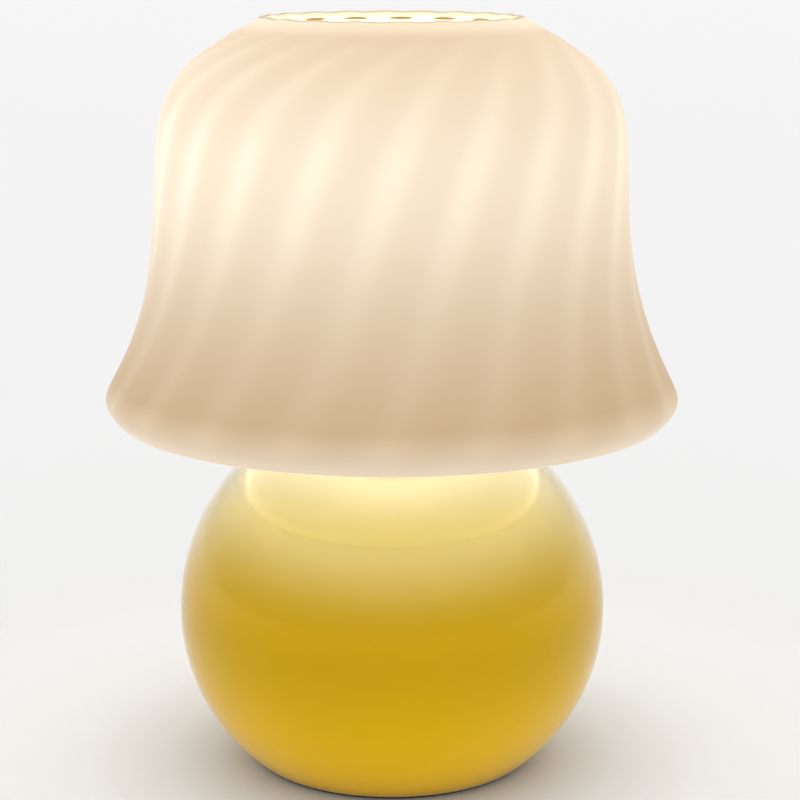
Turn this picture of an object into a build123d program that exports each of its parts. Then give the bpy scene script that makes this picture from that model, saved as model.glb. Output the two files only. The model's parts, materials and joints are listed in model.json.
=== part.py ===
from build123d import *
from math import asin, cos, degrees, exp, hypot, radians, sin
import os

# A mushroom table lamp: a glossy ball on a thin foot pad carries a lampholder, and a wire
# carrier on the lampholder holds a bell of swirled glass over the bulb by its shoulder.
# Millimetres, +Z up. The origin is on the table, on the lamp's axis. The cable leaves at +Y.

os.makedirs("parts", exist_ok=True)

# --- clearances -------------------------------------------------------------------------
fit_gap = 0.05  # radial play of a part that is pushed or screwed into another
pass_gap = 0.3  # radial play where a part only passes through a hole
rest_gap = 0.2  # what stays open between a part that lifts off and its seat

# --- foot pad and ball ------------------------------------------------------------------
pad_radius = 47.1
pad_thickness = 1.2
ball_radius = 75.6  # at the equator
ball_rise = 72.7  # from the equator up to the flat land on top
ball_drop = 53.4  # from the equator down to the foot
foot_radius = 49.9  # where the ball is cut off at the bottom
crown_radius = 20.0  # the flat land on top
ball_wall = 5.0
crown_wall = 7.0
foot_edge = 1.0  # rounding of the ball's foot
recess_radius = 42.0  # the pocket under the ball, for the plate and the nut
recess_depth = 10.0
ledge_radius = 34.0  # the opening inside the ledge that the plate is pulled against
ledge_thickness = 4.0

# --- what ties the lamp together --------------------------------------------------------
tube_radius = 5.0
tube_bore = 4.0
tube_below_nut = 0.5
plate_thickness = 1.5
wire_hole_radius = 4.0
wire_hole_offset = 25.0  # from the axis to the hole in the plate
washer_radius = 11.0
washer_thickness = 1.0
lock_washer_radius = 9.0
lock_washer_thickness = 1.2
lock_washer_slot = 1.6
nut_across_flats = 17.0
nut_height = 5.0
nut_chamfer = 0.8
gasket_radius = 17.0
gasket_thickness = 1.0
neck_cap_radius = 21.0
neck_cap_thickness = 1.6
neck_cap_edge = 1.0

# --- cable grommet ----------------------------------------------------------------------
grommet_height = 22.0  # where its axis meets the outside of the ball
grommet_bore = 3.2
grommet_body_radius = 4.2
grommet_flange_radius = 6.5
grommet_flange = 1.6
grommet_inner_radius = 5.4
grommet_inner_flange = 1.3

# --- lampholder -------------------------------------------------------------------------
holder_radius = 20.0
holder_wall = 2.8
holder_cap_height = 18.0
holder_boss_radius = 8.5
holder_boss_height = 4.0
tube_entry = 9.0  # how far the tube goes up into the cap
cap_socket_depth = 2.0
cap_straight = 4.0  # the cylindrical top stretch of the cap
cap_bulge = 3.2  # how far the dome of the cap stands out from the straight line below it
grub_radius = 1.5
grub_length = 3.6
grub_slot = 0.6
skirt_height = 32.0
skirt_rim = 2.8  # thickness of the rim that turns in at the top
thread_groove = 0.5
thread_pitch = 2.6
thread_turns = 8
insert_floor = 6.7
contact_thickness = 0.6
contact_width = 5.0
contact_half_length = 6.5
contact_rise = 2.4
contact_gap = 1.2  # from the corners of the centre contact to the screw shell
shell_wall = 0.6
screw_circle_radius = 10.0  # from the axis to each terminal screw
screw_radius = 1.7
screw_length = 5.5
screw_head_radius = 3.0
screw_head_height = 2.0
screw_slot = 0.8

# --- shade rings and carrier ------------------------------------------------------------
ring_base = 12.2  # from the bottom of the skirt to the lower ring
ring_height = 5.0
ring_radius = 26.0
ring_grip_radius = 1.1
ring_grip_count = 24
hub_thickness = 1.5
hub_radius = 31.0
arm_count = 3
arm_first_angle = 90.0  # the first arm points to the rear, over the cable
arm_wire_radius = 1.75
arm_weld = 3.0  # how far an arm lies on the hub
arm_run = 9.0  # from the inner end of an arm out to its knee
arm_bend = 9.0
tip_radius = 4.5
tip_sleeve_radius = 2.9
tip_sleeve_length = 9.0

# --- bulb -------------------------------------------------------------------------------
bulb_thread_radius = 13.1
bulb_thread_depth = 0.5
bulb_thread_pitch = 3.6
bulb_thread_turns = 5
bulb_thread_runout = 2.0  # the plain stretch above the thread
bulb_shell_wall = 0.7
bulb_insulator_height = 3.8
bulb_insulator_radius = 5.6
bulb_contact_radius = 4.6
bulb_contact_height = 1.0
bulb_neck_radius = 14.0
bulb_collar_height = 15.7
bulb_collar_radius = 17.2
bulb_collar_wall = 1.5
bulb_spigot = 8.0
globe_radius = 22.5
globe_wall = 1.0
board_thickness = 1.2
board_seat = 2.5  # from the top of the collar down to the light board
board_ledge = 1.0
chip_count = 8
chip_size = 3.0
chip_height = 0.8
chip_circle_radius = 9.5
driver_width = 14.0
driver_thickness = 1.4
driver_height = 24.0

# --- glass shade ------------------------------------------------------------------------
# Each point of the outside is (radius, height above the rim's lowest line).
rim_height = 125.5  # the rim's lowest line above the table
glass_wall = 3.0
shade_edge = (95.9, 0.7)
shade_widest = (99.9, 6.0)
shade_flare = (97.5, 13.9)
shade_waist = (84.8, 48.5)
shade_side = (81.2, 90.0)
shade_shoulder = (76.2, 113.5)
shade_crown = (60.4, 128.7)
shade_lip = (44.6, 137.1)
rim_bead_radius = 1.75
lip_bead_radius = 2.2
rib_count = 20
rib_depth = 0.8
rib_shape = (1.0, 0.3, 0.0, 0.3)  # depth of the groove at four even steps from rib to rib
first_groove = -111.2  # azimuth of one groove at the rim, in degrees
rib_twist = 0.235  # degrees for each millimetre of height
lip_twist = 30.0  # degrees more, wound up close under the lip
lip_twist_height = 8.0
rib_fade_rim = 12.0
rib_fade_lip = 4.0
section_count = 20  # ribbed sections along the outside
inside_count = 10  # stretches along the smooth inside
seat_share = 0.862  # where the carrier's tips touch, from the edge (0) to the lip (1)


# --- heights that follow from the sizes -------------------------------------------------
foot_z = pad_thickness
equator_z = foot_z + ball_drop
crown_z = equator_z + ball_rise
ledge_z = foot_z + recess_depth
cavity_z = ledge_z + ledge_thickness
plate_z = ledge_z - plate_thickness
washer_z = plate_z - washer_thickness
lock_washer_z = washer_z - lock_washer_thickness
nut_z = lock_washer_z - nut_height
tube_z = nut_z - tube_below_nut
neck_cap_z = crown_z + gasket_thickness
neck_nut_z = neck_cap_z + neck_cap_thickness
holder_z = neck_nut_z + nut_height
tube_top_z = holder_z + tube_entry
skirt_z = holder_z + holder_cap_height
skirt_top_z = skirt_z + skirt_height
insert_z = skirt_z - cap_socket_depth
insert_floor_z = insert_z + insert_floor
insert_top_z = skirt_top_z - skirt_rim - pass_gap
lower_ring_z = skirt_z + ring_base
hub_z = lower_ring_z + ring_height
upper_ring_z = hub_z + hub_thickness
contact_z = insert_floor_z + contact_rise
bulb_z = contact_z + rest_gap
bulb_insulator_z = bulb_z + bulb_contact_height
bulb_shell_z = bulb_insulator_z + bulb_insulator_height
bulb_thread_top_z = bulb_shell_z + bulb_thread_pitch * bulb_thread_turns
bulb_collar_z = bulb_thread_top_z + bulb_thread_runout
collar_top_z = bulb_collar_z + bulb_collar_height
board_z = collar_top_z - board_seat
globe_z = collar_top_z + (globe_radius**2 - bulb_collar_radius**2) ** 0.5
through_radius = tube_radius + pass_gap
socket_radius = bulb_thread_radius + pass_gap


def write(part, name):
    """Label the finished piece and write it under its name."""
    part.label = name
    export_step(part, f"parts/{name}.step")


def radial_plane(angle):
    """The upright plane through the axis at this azimuth: x runs outwards and y runs up."""
    turn = radians(angle)
    return Plane(origin=(0, 0, 0), x_dir=(cos(turn), sin(turn), 0), z_dir=(sin(turn), -cos(turn), 0))


def ease(share):
    """A smooth rise from 0 to 1 as the share goes from 0 to 1, level outside that."""
    share = min(max(share, 0.0), 1.0)
    return share * share * (3 - 2 * share)


# --- foot pad: a thin dark disc under the ball ------------------------------------------
with BuildPart() as foot_pad:
    with BuildSketch():
        Circle(pad_radius)
    extrude(amount=pad_thickness)
write(foot_pad.part, "foot_pad")

# --- ball base: a hollow glazed ball, open below ----------------------------------------
# One round arc runs from the equator down to the foot, and another from the equator up to
# the land on top. Both are upright at the equator, and the cavity's arcs share their centres.
lower_arc_radius = ((ball_radius - foot_radius) ** 2 + ball_drop**2) / (2 * (ball_radius - foot_radius))
upper_arc_radius = ((ball_radius - crown_radius) ** 2 + ball_rise**2) / (2 * (ball_radius - crown_radius))
lower_centre = (ball_radius - lower_arc_radius, equator_z)
upper_centre = (ball_radius - upper_arc_radius, equator_z)
cavity_lower_radius = lower_arc_radius - ball_wall
cavity_upper_radius = upper_arc_radius - ball_wall
cavity_top_z = crown_z - crown_wall
grommet_angle = asin((equator_z - grommet_height) / lower_arc_radius)
grommet_plane = Plane(
    origin=(0, lower_centre[0] + lower_arc_radius * cos(grommet_angle), grommet_height),
    x_dir=(1, 0, 0),
    z_dir=(0, cos(grommet_angle), -sin(grommet_angle)),
)


def rise_angle(height, arc_radius):
    """Degrees from the equator up to this height on an arc of the ball's profile."""
    return degrees(asin((height - equator_z) / arc_radius))


with BuildPart() as ball_base:
    with BuildSketch(Plane.XZ):
        with BuildLine():
            lower = CenterArc(lower_centre, lower_arc_radius, 0, rise_angle(foot_z, lower_arc_radius))
            upper = CenterArc(upper_centre, upper_arc_radius, 0, rise_angle(crown_z, upper_arc_radius))
            Polyline(upper @ 1, (0, crown_z), (0, foot_z), lower @ 1)
        make_face()
    revolve(axis=Axis.Z)
    fillet(ball_base.edges().group_by(Axis.Z)[0], foot_edge)
    with BuildSketch(Plane.XZ):
        with BuildLine():
            lower = CenterArc(
                lower_centre, cavity_lower_radius, 0, rise_angle(cavity_z, cavity_lower_radius)
            )
            upper = CenterArc(
                upper_centre, cavity_upper_radius, 0, rise_angle(cavity_top_z, cavity_upper_radius)
            )
            Polyline(upper @ 1, (0, cavity_top_z), (0, cavity_z), lower @ 1)
        make_face()
    revolve(axis=Axis.Z, mode=Mode.SUBTRACT)
    with BuildSketch(Plane.XY.offset(foot_z)):
        Circle(recess_radius)
    extrude(amount=recess_depth, mode=Mode.SUBTRACT)
    with BuildSketch(Plane.XY.offset(ledge_z)):
        Circle(ledge_radius)
    extrude(amount=ledge_thickness, mode=Mode.SUBTRACT)
    with BuildSketch(Plane.XY.offset(crown_z)):
        Circle(through_radius)
    extrude(amount=-2 * crown_wall, mode=Mode.SUBTRACT)
    with BuildSketch(grommet_plane.offset(ball_wall)):
        Circle(grommet_body_radius + fit_gap)
    extrude(amount=-3 * ball_wall, mode=Mode.SUBTRACT)
write(ball_base.part, "ball_base")

# --- cable grommet: a soft bush in the rear wall, square to the wall --------------------
grommet_length = grommet_flange + ball_wall + pass_gap + grommet_inner_flange
with BuildPart() as cable_grommet:
    with BuildSketch(grommet_plane.offset(fit_gap)):
        Circle(grommet_flange_radius)
    extrude(amount=grommet_flange - fit_gap)
    outward = Axis(grommet_plane.origin, grommet_plane.z_dir)
    fillet(cable_grommet.edges().group_by(outward)[-1], grommet_flange / 2)
    with BuildSketch(grommet_plane.offset(fit_gap)):
        Circle(grommet_body_radius)
    extrude(amount=-(ball_wall + pass_gap + fit_gap + grommet_inner_flange))
    with BuildSketch(grommet_plane.offset(-ball_wall - pass_gap)):
        Circle(grommet_inner_radius)
    extrude(amount=-grommet_inner_flange)
    with BuildSketch(grommet_plane.offset(grommet_flange)):
        Circle(grommet_bore)
    extrude(amount=-grommet_length, mode=Mode.SUBTRACT)
write(cable_grommet.part, "cable_grommet")

# --- bottom plate, washers and nut: they pull the tube against the ledge ----------------
with BuildPart() as bottom_plate:
    with BuildSketch(Plane.XY.offset(plate_z)):
        Circle(recess_radius - pass_gap)
        Circle(through_radius, mode=Mode.SUBTRACT)
        with Locations((0, wire_hole_offset)):
            Circle(wire_hole_radius, mode=Mode.SUBTRACT)
    extrude(amount=plate_thickness)
write(bottom_plate.part, "bottom_plate")

with BuildPart() as bottom_washer:
    with BuildSketch(Plane.XY.offset(washer_z)):
        Circle(washer_radius)
        Circle(through_radius, mode=Mode.SUBTRACT)
    extrude(amount=washer_thickness)
write(bottom_washer.part, "bottom_washer")

with BuildPart() as lock_washer:
    with BuildSketch(Plane.XY.offset(lock_washer_z)):
        Circle(lock_washer_radius)
        Circle(through_radius, mode=Mode.SUBTRACT)
        with Locations((lock_washer_radius / 2, 0)):
            Rectangle(lock_washer_radius, lock_washer_slot, mode=Mode.SUBTRACT)
    extrude(amount=lock_washer_thickness)
write(lock_washer.part, "lock_washer")

for nut_name, nut_bottom in (("bottom_nut", nut_z), ("neck_nut", neck_nut_z)):
    with BuildPart() as nut:
        with BuildSketch(Plane.XY.offset(nut_bottom)):
            RegularPolygon(nut_across_flats / 2, side_count=6, major_radius=False)
        extrude(amount=nut_height)
        chamfer(nut.edges().filter_by(Axis.Z, reverse=True).group_by(Axis.Z)[-1], nut_chamfer)
        with BuildSketch(Plane.XY.offset(nut_bottom)):
            Circle(tube_radius + fit_gap)
        extrude(amount=nut_height, mode=Mode.SUBTRACT)
    write(nut.part, nut_name)

# --- threaded tube: runs from the bottom nut up into the lampholder ---------------------
with BuildPart() as threaded_tube:
    with BuildSketch(Plane.XY.offset(tube_z)):
        Circle(tube_radius)
        Circle(tube_bore, mode=Mode.SUBTRACT)
    extrude(amount=tube_top_z - tube_z)
write(threaded_tube.part, "threaded_tube")

# --- neck gasket and neck cap: they close the top of the ball ---------------------------
with BuildPart() as neck_gasket:
    with BuildSketch(Plane.XY.offset(crown_z)):
        Circle(gasket_radius)
        Circle(through_radius, mode=Mode.SUBTRACT)
    extrude(amount=gasket_thickness)
write(neck_gasket.part, "neck_gasket")

with BuildPart() as neck_cap:
    with BuildSketch(Plane.XY.offset(neck_cap_z)):
        Circle(neck_cap_radius)
    extrude(amount=neck_cap_thickness)
    fillet(neck_cap.edges().group_by(Axis.Z)[-1], neck_cap_edge)
    with BuildSketch(Plane.XY.offset(neck_cap_z)):
        Circle(through_radius)
    extrude(amount=neck_cap_thickness, mode=Mode.SUBTRACT)
write(neck_cap.part, "neck_cap")

# --- lampholder cap: the domed lower half, clamped on the tube by a grub screw ----------
cap_inner_radius = holder_radius - holder_wall
cap_shoulder_z = skirt_z - cap_straight
boss_top_z = holder_z + holder_boss_height
grub_z = holder_z + holder_boss_height / 2
with BuildPart() as holder_cap:
    with BuildSketch(Plane.XZ):
        with BuildLine():
            Polyline((0, holder_z), (holder_boss_radius, holder_z), (holder_boss_radius, boss_top_z))
            SagittaArc((holder_boss_radius, boss_top_z), (holder_radius, cap_shoulder_z), -cap_bulge)
            Polyline((holder_radius, cap_shoulder_z), (holder_radius, skirt_z), (0, skirt_z), (0, holder_z))
        make_face()
    revolve(axis=Axis.Z)
    with BuildSketch(Plane.XY.offset(skirt_z)):
        Circle(cap_inner_radius)
    extrude(amount=-cap_socket_depth, mode=Mode.SUBTRACT)
    with BuildSketch(Plane.XZ):
        with BuildLine():
            Polyline(
                (0, insert_z),
                (cap_inner_radius - holder_wall / 2, insert_z),
                (cap_inner_radius - holder_wall / 2, cap_shoulder_z),
                (holder_boss_radius, tube_top_z),
                (0, tube_top_z),
                (0, insert_z),
            )
        make_face()
    revolve(axis=Axis.Z, mode=Mode.SUBTRACT)
    with BuildSketch(Plane.XY.offset(holder_z)):
        Circle(tube_radius + fit_gap)
    extrude(amount=tube_entry, mode=Mode.SUBTRACT)
    with BuildSketch(Plane.YZ):
        with Locations((0, grub_z)):
            Circle(grub_radius + fit_gap)
    extrude(amount=holder_radius, mode=Mode.SUBTRACT)
write(holder_cap.part, "holder_cap")

with BuildPart() as grub_screw:
    with BuildSketch(Plane.YZ.offset(tube_radius + fit_gap)):
        with Locations((0, grub_z)):
            Circle(grub_radius)
    extrude(amount=grub_length)
    with BuildSketch(Plane.YZ.offset(tube_radius + fit_gap + grub_length)):
        with Locations((0, grub_z)):
            Rectangle(grub_slot, 2 * grub_radius)
    extrude(amount=-grub_slot, mode=Mode.SUBTRACT)
write(grub_screw.part, "grub_screw")

# --- lampholder insert: the ceramic cup that holds the live parts -----------------------
insert_radius = cap_inner_radius - pass_gap
shell_radius = socket_radius + shell_wall
with BuildPart() as holder_insert:
    with BuildSketch(Plane.XY.offset(insert_z)):
        Circle(insert_radius)
    extrude(amount=insert_top_z - insert_z)
    with BuildSketch(Plane.XY.offset(insert_floor_z)):
        Circle(shell_radius + fit_gap)
    extrude(amount=insert_top_z - insert_floor_z, mode=Mode.SUBTRACT)
    with BuildSketch(Plane.XY.offset(insert_z)):
        with PolarLocations(screw_circle_radius, 2):
            Circle(screw_radius + fit_gap)
    extrude(amount=insert_floor, mode=Mode.SUBTRACT)
write(holder_insert.part, "holder_insert")

with BuildPart() as screw_shell:
    with BuildSketch(Plane.XY.offset(insert_floor_z)):
        Circle(shell_radius)
    extrude(amount=insert_top_z - insert_floor_z)
    with BuildSketch(Plane.XY.offset(insert_floor_z + shell_wall)):
        Circle(socket_radius)
    extrude(amount=insert_top_z - insert_floor_z, mode=Mode.SUBTRACT)
    with BuildSketch(Plane.XY.offset(insert_floor_z)):
        Circle(hypot(contact_half_length, contact_width / 2) + contact_gap)
    extrude(amount=shell_wall, mode=Mode.SUBTRACT)
write(screw_shell.part, "screw_shell")

foot_strip_z = insert_floor_z + contact_thickness / 2
top_strip_z = contact_z - contact_thickness / 2
with BuildPart() as centre_contact:
    with BuildSketch(Plane.XZ):
        with BuildLine():
            Polyline(
                (-contact_half_length, foot_strip_z),
                (-contact_half_length / 2, foot_strip_z),
                (-contact_half_length / 4, top_strip_z),
                (contact_half_length / 4, top_strip_z),
                (contact_half_length / 2, foot_strip_z),
                (contact_half_length, foot_strip_z),
            )
        trace(line_width=contact_thickness)
    extrude(amount=contact_width / 2, both=True)
write(centre_contact.part, "centre_contact")

with BuildPart() as terminal_screws:
    with BuildSketch(Plane.XY.offset(insert_z)):
        with PolarLocations(screw_circle_radius, 2):
            Circle(screw_radius)
    extrude(amount=screw_length)
    with BuildSketch(Plane.XY.offset(insert_z)):
        with PolarLocations(screw_circle_radius, 2):
            Circle(screw_head_radius)
    extrude(amount=-screw_head_height)
    with BuildSketch(Plane.XY.offset(insert_z - screw_head_height)):
        with PolarLocations(screw_circle_radius, 2):
            Rectangle(3 * screw_head_radius, screw_slot)
    extrude(amount=screw_slot, mode=Mode.SUBTRACT)
write(terminal_screws.part, "terminal_screws")

# --- lampholder skirt: the outer sleeve with the thread for the shade rings -------------
with BuildPart() as holder_skirt:
    with BuildSketch(Plane.XY.offset(skirt_z)):
        Circle(holder_radius)
    extrude(amount=skirt_height)
    with BuildSketch(Plane.XY.offset(skirt_z)):
        Circle(cap_inner_radius)
    extrude(amount=skirt_height - skirt_rim, mode=Mode.SUBTRACT)
    with BuildSketch(Plane.XY.offset(skirt_top_z)):
        Circle(bulb_neck_radius + pass_gap)
    extrude(amount=-skirt_rim, mode=Mode.SUBTRACT)
    with BuildSketch(Plane.XZ):
        with GridLocations(0, thread_pitch, 1, thread_turns):
            with Locations((holder_radius, skirt_top_z - thread_pitch * (thread_turns + 1) / 2)):
                Circle(thread_groove)
    revolve(axis=Axis.Z, mode=Mode.SUBTRACT)
write(holder_skirt.part, "holder_skirt")

# --- shade rings: two ridged rings that clamp the hub of the carrier --------------------
for ring_name, ring_z in (("lower_shade_ring", lower_ring_z), ("upper_shade_ring", upper_ring_z)):
    with BuildPart() as shade_ring:
        with BuildSketch(Plane.XY.offset(ring_z)):
            Circle(ring_radius)
            Circle(holder_radius + fit_gap, mode=Mode.SUBTRACT)
            with PolarLocations(ring_radius + ring_grip_radius / 2, ring_grip_count):
                Circle(ring_grip_radius, mode=Mode.SUBTRACT)
        extrude(amount=ring_height)
    write(shade_ring.part, ring_name)

# --- glass shade: a bell of even wall, its ribs twisted as the hot glass was turned -----
shade_points = (
    shade_edge,
    shade_widest,
    shade_flare,
    shade_waist,
    shade_side,
    shade_shoulder,
    shade_crown,
    shade_lip,
)
shade_outline = Spline(*[(radius, rim_height + height) for radius, height in shade_points])
lip_z = (shade_outline @ 1).Y
edge_z = (shade_outline @ 0).Y


def glass_point(share, depth):
    """The point this deep in the glass, square to the outside, from edge (0) to lip (1)."""
    along = shade_outline % share
    outside = shade_outline @ share
    return Vector(outside.X - depth * along.Y, outside.Y + depth * along.X)


with BuildPart() as glass_shade:
    for section in range(section_count + 1):
        station = shade_outline @ (section / section_count)
        fade = ease((station.Y - edge_z) / rib_fade_rim) * ease((lip_z - station.Y) / rib_fade_lip)
        twist = rib_twist * (station.Y - edge_z) + lip_twist * exp((station.Y - lip_z) / lip_twist_height)
        ring = []
        for step in range(len(rib_shape) * rib_count):
            turn = radians(first_groove + twist + 360 * step / (len(rib_shape) * rib_count))
            reach = station.X - rib_depth * fade * rib_shape[step % len(rib_shape)]
            ring.append((reach * cos(turn), reach * sin(turn)))
        with BuildSketch(Plane.XY.offset(station.Y)):
            with BuildLine():
                Spline(*ring, periodic=True)
            make_face()
    loft()
    with BuildSketch(Plane.XZ):
        with BuildLine():
            shares = [step / inside_count for step in range(inside_count + 1)]
            inside = Spline(*[glass_point(share, glass_wall) for share in shares])
            Polyline(
                inside @ 0,
                ((inside @ 0).X, edge_z),
                (0, edge_z),
                (0, lip_z),
                ((inside @ 1).X, lip_z),
                inside @ 1,
            )
        make_face()
    revolve(axis=Axis.Z, mode=Mode.SUBTRACT)
    for share, bead_radius in ((0, rim_bead_radius), (1, lip_bead_radius)):
        with BuildSketch(Plane.XZ):
            with Locations(glass_point(share, glass_wall / 2)):
                Circle(bead_radius)
        revolve(axis=Axis.Z)
write(glass_shade.part, "glass_shade")

# --- shade carrier: a hub plate with three wire arms up to the shade's shoulder ---------
tip_centre = glass_point(seat_share, glass_wall + rest_gap + tip_radius)
arm_z = hub_z + hub_thickness / 2
arm_angles = [arm_first_angle + 360 / arm_count * arm for arm in range(arm_count)]
tip_planes = []
with BuildPart() as shade_carrier:
    with BuildSketch(Plane.XY.offset(hub_z)):
        Circle(hub_radius)
        Circle(holder_radius + pass_gap, mode=Mode.SUBTRACT)
    extrude(amount=hub_thickness)
    for angle in arm_angles:
        with BuildLine(radial_plane(angle)) as arm_path:
            FilletPolyline(
                (hub_radius - arm_weld, arm_z),
                (hub_radius - arm_weld + arm_run, arm_z),
                (tip_centre.X, tip_centre.Y),
                radius=arm_bend,
            )
        with BuildSketch(Plane(origin=arm_path.line @ 0, z_dir=arm_path.line % 0)):
            Circle(arm_wire_radius)
        sweep(path=arm_path.line)
        tip_planes.append(Plane(origin=arm_path.line @ 1, z_dir=arm_path.line % 1))
write(shade_carrier.part, "shade_carrier")

# --- carrier tips: soft caps pushed on the arms, on which the glass rests ----------------
for number, tip_plane in enumerate(tip_planes, start=1):
    with BuildPart() as carrier_tip:
        with Locations(tip_plane):
            Sphere(tip_radius)
        with BuildSketch(tip_plane):
            Circle(tip_sleeve_radius)
        extrude(amount=-tip_sleeve_length)
        with BuildSketch(tip_plane):
            Circle(arm_wire_radius + fit_gap)
        extrude(amount=-tip_sleeve_length, mode=Mode.SUBTRACT)
    write(carrier_tip.part, f"carrier_tip_{number}")

# --- bulb cap: contact, insulator and screw shell ---------------------------------------
with BuildPart() as bulb_contact:
    with BuildSketch(Plane.XY.offset(bulb_z)):
        Circle(bulb_contact_radius)
    extrude(amount=bulb_contact_height)
    fillet(bulb_contact.edges().group_by(Axis.Z)[0], bulb_contact_height / 2)
write(bulb_contact.part, "bulb_contact")

bulb_shell_inner = bulb_thread_radius - bulb_thread_depth - bulb_shell_wall
with BuildPart() as bulb_insulator:
    with BuildSketch(Plane.XY.offset(bulb_insulator_z)):
        Circle(bulb_insulator_radius)
    with BuildSketch(Plane.XY.offset(bulb_shell_z)):
        Circle(bulb_shell_inner)
    loft()
write(bulb_insulator.part, "bulb_insulator")

bulb_root_radius = bulb_thread_radius - bulb_thread_depth
with BuildPart() as bulb_screw_cap:
    with BuildSketch(Plane.XZ):
        with BuildLine():
            for turn in range(bulb_thread_turns):
                root_z = bulb_shell_z + turn * bulb_thread_pitch
                ThreePointArc(
                    (bulb_root_radius, root_z),
                    (bulb_thread_radius, root_z + bulb_thread_pitch / 2),
                    (bulb_root_radius, root_z + bulb_thread_pitch),
                )
            Polyline(
                (bulb_root_radius, bulb_thread_top_z),
                (bulb_root_radius, bulb_collar_z),
                (bulb_shell_inner, bulb_collar_z),
                (bulb_shell_inner, bulb_shell_z),
                (bulb_root_radius, bulb_shell_z),
            )
        make_face()
    revolve(axis=Axis.Z)
write(bulb_screw_cap.part, "bulb_screw_cap")

# --- bulb collar: the housing between the screw cap and the globe -----------------------
with BuildPart() as bulb_collar:
    with BuildSketch(Plane.XY.offset(bulb_collar_z)):
        Circle(bulb_neck_radius)
    with BuildSketch(Plane.XY.offset(collar_top_z)):
        Circle(bulb_collar_radius)
    loft()
    with BuildSketch(Plane.XY.offset(bulb_collar_z)):
        Circle(bulb_shell_inner - fit_gap)
    extrude(amount=-bulb_spigot)
    with BuildSketch(Plane.XY.offset(bulb_collar_z - bulb_spigot)):
        Circle(bulb_shell_inner - fit_gap - bulb_collar_wall)
    extrude(amount=bulb_spigot + bulb_collar_height, mode=Mode.SUBTRACT)
    with BuildSketch(Plane.XY.offset(board_z)):
        Circle(bulb_collar_radius - bulb_collar_wall - board_ledge)
    extrude(amount=board_seat, mode=Mode.SUBTRACT)
write(bulb_collar.part, "bulb_collar")

# --- light board, its chips and the driver board ----------------------------------------
with BuildPart() as light_board:
    with BuildSketch(Plane.XY.offset(board_z)):
        Circle(bulb_collar_radius - bulb_collar_wall - board_ledge - fit_gap)
    extrude(amount=board_thickness)
write(light_board.part, "light_board")

with BuildPart() as light_chips:
    with BuildSketch(Plane.XY.offset(board_z + board_thickness)):
        with PolarLocations(chip_circle_radius, chip_count):
            Rectangle(chip_size, chip_size)
    extrude(amount=chip_height)
write(light_chips.part, "light_chips")

with BuildPart() as driver_board:
    with BuildSketch(Plane.XY.offset(board_z)):
        Rectangle(driver_width, driver_thickness)
    extrude(amount=-driver_height)
write(driver_board.part, "driver_board")

# --- bulb globe: an opal ball cut off at the collar --------------------------------------
with BuildPart() as bulb_globe:
    with Locations((0, 0, globe_z)):
        Sphere(globe_radius)
        Sphere(globe_radius - globe_wall, mode=Mode.SUBTRACT)
    split(bisect_by=Plane.XY.offset(collar_top_z), keep=Keep.TOP)
write(bulb_globe.part, "bulb_globe")
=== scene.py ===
import json
import math

import bpy
import numpy as np
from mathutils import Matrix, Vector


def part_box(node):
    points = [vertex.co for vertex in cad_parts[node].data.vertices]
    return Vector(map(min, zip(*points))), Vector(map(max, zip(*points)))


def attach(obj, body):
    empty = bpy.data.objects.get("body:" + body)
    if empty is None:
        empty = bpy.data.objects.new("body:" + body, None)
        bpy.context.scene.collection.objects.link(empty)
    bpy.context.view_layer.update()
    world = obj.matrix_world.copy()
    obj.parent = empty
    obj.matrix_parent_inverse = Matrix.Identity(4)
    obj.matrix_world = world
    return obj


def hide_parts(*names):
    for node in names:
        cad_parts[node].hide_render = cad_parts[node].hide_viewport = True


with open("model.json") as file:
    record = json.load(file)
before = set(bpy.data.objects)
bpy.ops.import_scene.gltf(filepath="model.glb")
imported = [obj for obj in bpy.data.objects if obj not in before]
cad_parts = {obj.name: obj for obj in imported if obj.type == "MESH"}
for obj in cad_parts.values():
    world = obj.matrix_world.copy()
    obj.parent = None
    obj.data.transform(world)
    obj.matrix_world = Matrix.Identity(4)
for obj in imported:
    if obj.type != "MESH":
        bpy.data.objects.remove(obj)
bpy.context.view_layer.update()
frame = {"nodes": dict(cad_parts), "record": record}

# --- Camera --------------------------------------------------------------------------------
# The picture is taken from three quarters of a metre in front of the lamp, a little above the
# lip of its shade and looking down by twelve degrees, through a lens that sees twenty degrees.
camera_distance = 0.7627
camera_side = 0.0028
camera_height = 0.2945
camera_pitch = math.radians(12.19)
lens = bpy.data.cameras.new("lens")
lens.angle = math.radians(20.49)
lens.clip_start = 0.05
camera = bpy.data.objects.new("camera", lens)
camera.location = (camera_side, -camera_distance, camera_height)
camera.rotation_euler = (math.pi / 2 - camera_pitch, 0.0, 0.0)
bpy.context.scene.collection.objects.link(camera)
bpy.context.scene.camera = camera
bpy.context.scene.view_settings.view_transform = "Standard"

# --- Foot pad ------------------------------------------------------------------------------
# A disc of dark brown pressed felt, punched out and glued under the ball so that the lamp
# doesn't scratch the table. The ball's weight presses it a little wider than it was cut, so
# that it shows as a thin dark line under the ball.


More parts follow.
